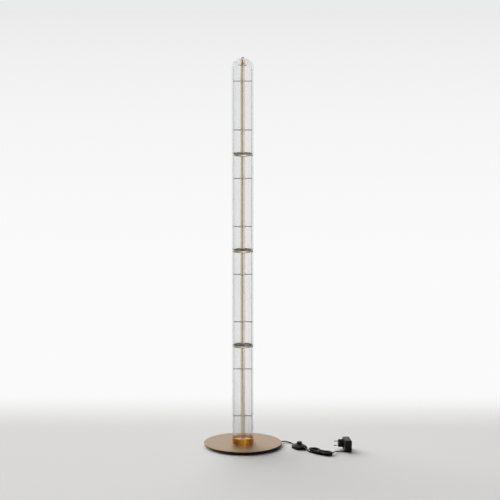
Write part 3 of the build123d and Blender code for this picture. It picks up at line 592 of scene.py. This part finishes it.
def dome_profile():
    """Ribs run over the dome and grow finer towards the recess of the nut."""
    outer = [
        (GLASS_BORE, DOME_FOOT + LIP, 0.0), (GLASS_BORE + LIP, DOME_FOOT, 0.0),
        (GLASS_RADIUS - LIP, DOME_FOOT, REED_DEPTH), (GLASS_RADIUS, DOME_FOOT + LIP, REED_DEPTH),
        (GLASS_RADIUS, DOME_SHOULDER, REED_DEPTH),
    ]
    last = math.acos(FINIAL_RECESS / GLASS_RADIUS)
    for number in range(1, DOME_STEPS + 1):
        rise = last * number / DOME_STEPS
        radius = GLASS_RADIUS * math.cos(rise)
        fading = REED_DEPTH * (radius / GLASS_RADIUS) ** RIB_FADING
        outer.append((radius, DOME_SHOULDER + GLASS_RADIUS * math.sin(rise), fading))
    inner = []
    last = math.acos(FINIAL_HOLE / GLASS_BORE)
    for number in range(DOME_STEPS + 1):
        rise = last * (1 - number / DOME_STEPS)
        inner.append((GLASS_BORE * math.cos(rise), DOME_SHOULDER + GLASS_BORE * math.sin(rise), 0.0))
    return [*outer, (FINIAL_RECESS, FINIAL_FLOOR, 0.0), (FINIAL_HOLE, FINIAL_FLOOR, 0.0), *inner]


for number, (bottom, top) in enumerate(GLASS_ENDS, 1):
    glass_piece(f"ribbed_tube_{number}", tube_profile(bottom, top), f"glass_tube_{number}")
glass_piece("ribbed_dome", dome_profile(), "glass_dome")


# Return spring of the button, which shortens as the button goes down; here it is wound to the length of its solid
SPRING_WIRE = 1.2
SPRING_TURNS = 3
SPRING_STEPS = 16


def return_spring():
    """Wind the spring inside the box that its solid has."""
    low, high = (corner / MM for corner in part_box("button_spring"))
    centre = (low + high) / 2
    reach = (high.x - low.x - SPRING_WIRE) / 2
    foot, head = low.z + SPRING_WIRE / 2, high.z - SPRING_WIRE / 2
    count = SPRING_TURNS * SPRING_STEPS
    turns = [2 * math.pi * number / SPRING_STEPS for number in range(count + 1)]
    places = [
        (centre.x + reach * math.cos(turn), centre.y + reach * math.sin(turn), foot + (head - foot) * number / count)
        for number, turn in enumerate(turns)
    ]
    drawn, _ = thick_line("spring_line", "POLY", places, SPRING_WIRE, roundness=3)
    bpy.context.view_layer.update()
    data = bpy.data.meshes.new_from_object(drawn.evaluated_get(bpy.context.evaluated_depsgraph_get()))
    bpy.data.objects.remove(drawn)
    data.shade_smooth()
    data.materials.clear()
    data.materials.append(finishes["zinc_steel"])
    spring = bpy.data.objects.new("return_spring", data)
    bpy.context.collection.objects.link(spring)
    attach(spring, BODY)
    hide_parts("button_spring")
    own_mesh(spring)


return_spring()


# Finishes on the carried pieces: each takes that of its slot, and some take another one: the stems, their cap and
# the cone a paler brass as painted light, the plug pins and the finial nut a darker nickel as painted shade, the
# light boards bright steel
OTHER_FINISHES = {
    "lightened_brass": ("stem_1", "stem_2", "stem_3", "stem_4", "stem_cap", "dome_cone"),
    "bright_steel": ("light_board_1", "light_board_2", "light_board_3", "light_board_4"),
    "shaded_nickel": ("plug_pins", "finial_nut"),
}


def dress(node, finish):
    """Give a carried piece its finish."""
    for place in lamp_nodes[node].material_slots:
        place.material = finishes[finish]


for entry in frame["record"]["subparts"]:
    dress(entry["node"], entry["material_slot"])
for finish, nodes in OTHER_FINISHES.items():
    for node in nodes:
        dress(node, finish)
for cord in (lead, supply):
    cord.data.materials.append(finishes["cord_jacket"])


# Floor, light and surroundings. A way is a direction in the room, and a span is where a change starts and ends.
SOFT_LIGHT_WAY, SOFT_LIGHT_SPAN = (-0.40, 0.87, 0.29), (0.66, 1.0)
SHADE_LIGHT, SOFT_LIGHT = 0.02, 9.2
LEFT_LEVEL, RIGHT_LEVEL, SIDE_SPAN = 0.22, 0.40, (0.1, 0.8)
BEHIND_SPAN = (0.2, 0.6)
FRONT_LEVEL, FRONT_BAND_WAY, FRONT_BAND_SPAN = 1.15, (0.20, -0.98, 0.0), (0.1, 0.97)
ROOF_LEVEL, ROOF_SPAN = 0.40, (0.25, 0.9)
WINDOW_LEVEL, WINDOW_SPREAD, WINDOW_WAY = 5.0, 0.10, (0.94, 0.34, 0.0)
WINDOW_SIDE_SPAN = (-0.5, -0.7)
CLEAR_LEVEL = 0.98
DARK_CORNER_LEVEL, DARK_CORNER_WAY, DARK_CORNER_SPAN = 0.06, (-0.31, -0.95, 0.0), (0.84, 0.985)
SKIRTING_SPAN = (0.0, 0.06)
CEILING_SHARE, CEILING_SPAN = 0.38, (0.2, 0.6)
ROOM_TONE, WALL_TONE = colour(250, 250, 250), colour(234, 235, 235)

# The floor's fades in metres: backwards, sideways and forwards for the eye, then round the lamp for mirrors
FLOOR_HALF = 30.0
FLOOR_TONE = (0.62, 0.615, 0.605, 1.0)
BACK_FADE, SIDE_FADE, FRONT_FADE = (0.25, 1.05), (1.2, 4.0), (2.0, 5.0)
ROUND_FADE, BEFORE_LAMP = (0.7, 1.8), (0.15, -0.15)
FAR_FADE, FAR_LEVEL = (5.0, 30.0), 0.86


def build_surroundings():
    """How bright the room is each way: for mirrors, and for what is seen through glass."""
    group, given, result = new_group(
        "surroundings", [("Way", "vector", None)], [("Mirrored", "value"), ("Through Glass", "value")]
    )
    way = given["Way"]
    right, back, up = split(group, way)
    behind = ramp(group, back, *BEHIND_SPAN)
    beside = ramp(group, right, *SIDE_SPAN, LEFT_LEVEL, RIGHT_LEVEL)
    ahead = ramp(group, along_way(group, way, FRONT_BAND_WAY), *FRONT_BAND_SPAN, 0.0, FRONT_LEVEL)
    above = ramp(group, up, *ROOF_SPAN, 0.0, ROOF_LEVEL)
    off_window = maths(group, "ABSOLUTE", along_way(group, way, WINDOW_WAY))
    window = maths(group, "MULTIPLY", ramp(group, back, *WINDOW_SIDE_SPAN),
                   ramp(group, off_window, WINDOW_SPREAD, 0.0, 0.0, WINDOW_LEVEL))
    feed(group, result["Mirrored"], largest(group, beside, behind, ahead, above, window))
    corner = ramp(group, along_way(group, way, DARK_CORNER_WAY), *DARK_CORNER_SPAN, CLEAR_LEVEL, DARK_CORNER_LEVEL)
    over_floor = ramp(group, up, *SKIRTING_SPAN, 0.0, CLEAR_LEVEL)
    ceiling = ramp(group, up, *CEILING_SPAN, 1.0, CEILING_SHARE)
    through = maths(group, "MULTIPLY", largest(group, corner, over_floor, behind), ceiling)
    feed(group, result["Through Glass"], through)
    return group


surroundings = build_surroundings()


def room_level(tree, way, path):
    """Give what a mirrored ray, or one that went through glass, finds that way."""
    room = effect(tree, surroundings, Way=way)
    found = put(tree, "ShaderNodeMix", {"data_type": "FLOAT"},
                {0: path["Is Transmission Ray"], 2: room["Mirrored"], 3: room["Through Glass"]})
    return found.outputs[0]


def build_floor():
    """A pale floor that rises into the bright surroundings with distance."""
    mesh = bmesh.new()
    corners = ((-1, -1), (1, -1), (1, 1), (-1, 1))
    mesh.faces.new([mesh.verts.new((x * FLOOR_HALF, y * FLOOR_HALF, 0.0)) for x, y in corners])
    data = bpy.data.meshes.new("floor")
    mesh.to_mesh(data)
    mesh.free()
    floor = bpy.data.objects.new("floor", data)
    bpy.context.collection.objects.link(floor)
    made, tree, shader = new_finish("pale_floor", Base_Color=FLOOR_TONE, Roughness=0.9, Specular_IOR_Level=0.1)
    spot = put(tree, "ShaderNodeNewGeometry").outputs["Position"]
    right, back, _ = split(tree, spot)
    away = put(tree, "ShaderNodeVectorMath", {"operation": "NORMALIZE"}, {0: spot}).outputs["Vector"]
    distance = put(tree, "ShaderNodeVectorMath", {"operation": "LENGTH"}, {0: spot}).outputs["Value"]
    path = put(tree, "ShaderNodeLightPath").outputs
    by_eye = path["Is Camera Ray"]
    mirrored = largest(tree, path["Is Glossy Ray"], path["Is Transmission Ray"])
    behind = ramp(tree, back, *BACK_FADE, easing="SMOOTHSTEP")
    aside = ramp(tree, maths(tree, "ABSOLUTE", right), *SIDE_FADE)
    ahead = ramp(tree, maths(tree, "MULTIPLY", back, -1.0), *FRONT_FADE)
    around = maths(tree, "MULTIPLY", ramp(tree, distance, *ROUND_FADE), ramp(tree, back, *BEFORE_LAMP))
    far = largest(tree, maths(tree, "MULTIPLY", largest(tree, behind, aside, ahead), by_eye),
                  maths(tree, "MULTIPLY", largest(tree, behind, around), mirrored))
    seen = maths(tree, "MULTIPLY", by_eye, ramp(tree, back, *FAR_FADE, 1.0, FAR_LEVEL))
    found = maths(tree, "MULTIPLY", room_level(tree, away, path), mirrored)
    glow = put(tree, "ShaderNodeEmission", values={"Color": ROOM_TONE, "Strength": largest(tree, seen, found)})
    feed(tree, tree.nodes["Material Output"].inputs["Surface"],
         blend_shaders(tree, far, shader.outputs[0], glow.outputs[0]))
    data.materials.append(made)


def build_world():
    """Soft light low from behind; the eye sees a pale wall, mirrors and glass see the surroundings."""
    world = bpy.data.worlds.new("studio")
    world.use_nodes = True
    tree = world.node_tree
    toward = put(tree, "ShaderNodeTexCoord").outputs["Generated"]
    path = put(tree, "ShaderNodeLightPath").outputs
    soft = tree.nodes["Background"]
    soft.inputs["Color"].default_value = (1.0, 1.0, 1.0, 1.0)
    lit = ramp(tree, along_way(tree, toward, SOFT_LIGHT_WAY), *SOFT_LIGHT_SPAN, SHADE_LIGHT, SOFT_LIGHT)
    feed(tree, soft.inputs["Strength"], lit)
    room = put(tree, "ShaderNodeBackground",
               values={"Color": ROOM_TONE, "Strength": room_level(tree, toward, path)})
    wall = put(tree, "ShaderNodeBackground", values={"Color": WALL_TONE, "Strength": 1.0})
    mirrored = largest(tree, path["Is Glossy Ray"], path["Is Transmission Ray"])
    found = blend_shaders(tree, mirrored, soft.outputs[0], room.outputs[0])
    seen = blend_shaders(tree, path["Is Camera Ray"], found, wall.outputs[0])
    feed(tree, tree.nodes["World Output"].inputs["Surface"], seen)
    bpy.context.scene.world = world


TOP_LIGHT_PLACE, TOP_LIGHT_AIM = (-0.2, 0.9, 3.6), (0.0, 0.0, 0.4)
TOP_LIGHT_WIDTH, TOP_LIGHT_POWER = 2.4, 14.0


def hang_top_light():
    """Hang a square soft light over the lamp and turn it to the lamp's foot."""
    data = bpy.data.lights.new("top_light", "AREA")
    data.shape = "RECTANGLE"
    data.size = TOP_LIGHT_WIDTH
    data.size_y = TOP_LIGHT_WIDTH
    data.energy = TOP_LIGHT_POWER
    light = bpy.data.objects.new("top_light", data)
    light.location = TOP_LIGHT_PLACE
    light.rotation_euler = (Vector(TOP_LIGHT_AIM) - Vector(TOP_LIGHT_PLACE)).to_track_quat("-Z", "Y").to_euler()
    bpy.context.collection.objects.link(light)


build_floor()
build_world()
hang_top_light()

bpy.context.scene.view_settings.view_transform = "Standard"
